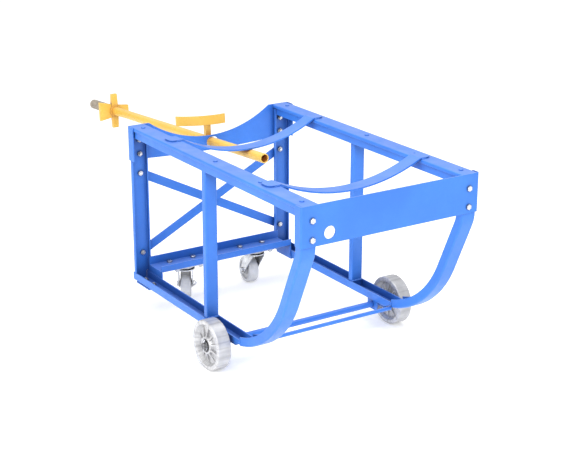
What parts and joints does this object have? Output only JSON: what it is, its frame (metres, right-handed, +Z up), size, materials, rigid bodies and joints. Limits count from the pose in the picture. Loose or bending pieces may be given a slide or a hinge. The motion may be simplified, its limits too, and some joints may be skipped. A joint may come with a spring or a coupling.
{
  "type": "drum dolly",
  "caption": "Low four-wheel cradle that carries a steel drum on its side, with curved front runners, swivel casters at the rear and a removable tilt lever.",
  "frame": {"origin": "on the floor, on the centre plane, straight below the outer face of the rear plate", "axes": "+X along the drum towards the front band, +Y to the left when facing +X, +Z up; left and right in the names are those of the user who stands behind the rear plate and faces +X"},
  "size_m": [1.5741, 0.602, 0.509],
  "materials": {
    "blue_powder_coat": "semi-gloss powder coat",
    "yellow_paint": "semi-gloss paint",
    "zinc_plate": "bright zinc plate",
    "wheel_iron": "semi-steel, satin",
    "bearing_steel": "oiled steel",
    "caster_tread": "satin",
    "grip_rubber": "matte"
  },
  "bodies": {
    "frame": {"axle": "blue_powder_coat", "axle_spacers": "zinc_plate", "axle_washers": "zinc_plate", "brace_spacers": "zinc_plate", "bracket_bolts": "zinc_plate", "bracket_nuts": "zinc_plate", "cap_screws": "blue_powder_coat", "caster_bolts": "zinc_plate", "caster_carrier": "blue_powder_coat", "caster_nuts": "zinc_plate", "cotter_pins": "zinc_plate", "front_band": "blue_powder_coat", "front_bolts": "zinc_plate", "front_nuts": "zinc_plate", "front_strap": "blue_powder_coat", "inner_brace": "blue_powder_coat", "left_axle_bracket": "blue_powder_coat", "left_bottom_rail": "blue_powder_coat", "left_carrier_bracket": "blue_powder_coat", "left_caster_plate": "zinc_plate", "left_mid_post": "blue_powder_coat", "left_rail_cap": "blue_powder_coat", "left_rear_post": "blue_powder_coat", "left_runner": "blue_powder_coat", "left_top_rail": "blue_powder_coat", "outer_brace": "blue_powder_coat", "rear_bolts": "zinc_plate", "rear_nuts": "zinc_plate", "rear_plate": "blue_powder_coat", "rear_strap": "blue_powder_coat", "right_axle_bracket": "blue_powder_coat", "right_bottom_rail": "blue_powder_coat", "right_carrier_bracket": "blue_powder_coat", "right_caster_plate": "zinc_plate", "right_mid_post": "blue_powder_coat", "right_rail_cap": "blue_powder_coat", "right_rear_post": "blue_powder_coat", "right_runner": "blue_powder_coat", "right_top_rail": "blue_powder_coat", "tie_rod": "blue_powder_coat"},
    "left_main_wheel": {"left_wheel": "wheel_iron", "left_wheel_bearing": "bearing_steel"},
    "right_main_wheel": {"right_wheel": "wheel_iron", "right_wheel_bearing": "bearing_steel"},
    "left_caster_swivel": {"left_caster_fork": "zinc_plate", "left_caster_axle": "zinc_plate"},
    "right_caster_swivel": {"right_caster_fork": "zinc_plate", "right_caster_axle": "zinc_plate"},
    "left_caster_roller": {"left_caster_wheel": "caster_tread", "left_caster_bush": "bearing_steel"},
    "right_caster_roller": {"right_caster_wheel": "caster_tread", "right_caster_bush": "bearing_steel"},
    "lever": {"lever_tube": "yellow_paint", "lever_grip": "grip_rubber", "bung_wrench": "yellow_paint", "chime_hook": "yellow_paint", "hook_post": "yellow_paint"}
  },
  "joints": [
    {"name": "right_wheel_spin", "type": "hinge", "parent": "frame", "child": "right_main_wheel", "pos_m": [0.47, -0.274, 0.0635], "axis": [0, 1, 0], "continuous": true},
    {"name": "left_wheel_spin", "type": "hinge", "parent": "frame", "child": "left_main_wheel", "pos_m": [0.47, 0.274, 0.0635], "axis": [0, 1, 0], "continuous": true},
    {"name": "right_caster_turn", "type": "hinge", "parent": "frame", "child": "right_caster_swivel", "pos_m": [0.05, -0.114, 0.096], "axis": [0, 0, 1], "continuous": true},
    {"name": "right_caster_spin", "type": "hinge", "parent": "right_caster_swivel", "child": "right_caster_roller", "pos_m": [0.01536, -0.094, 0.0375], "axis": [0.5, 0.866, 0], "continuous": true},
    {"name": "left_caster_turn", "type": "hinge", "parent": "frame", "child": "left_caster_swivel", "pos_m": [0.05, 0.11, 0.096], "axis": [0, 0, 1], "continuous": true},
    {"name": "left_caster_spin", "type": "hinge", "parent": "left_caster_swivel", "child": "left_caster_roller", "pos_m": [0.01015, 0.11349, 0.0375], "axis": [0.0872, 0.9962, 0], "continuous": true},
    {"name": "lever_pull", "type": "slide", "parent": "frame", "child": "lever", "axis": [-0.9979, 0, -0.0645], "range_m": [0, 0.25]}
  ]
}
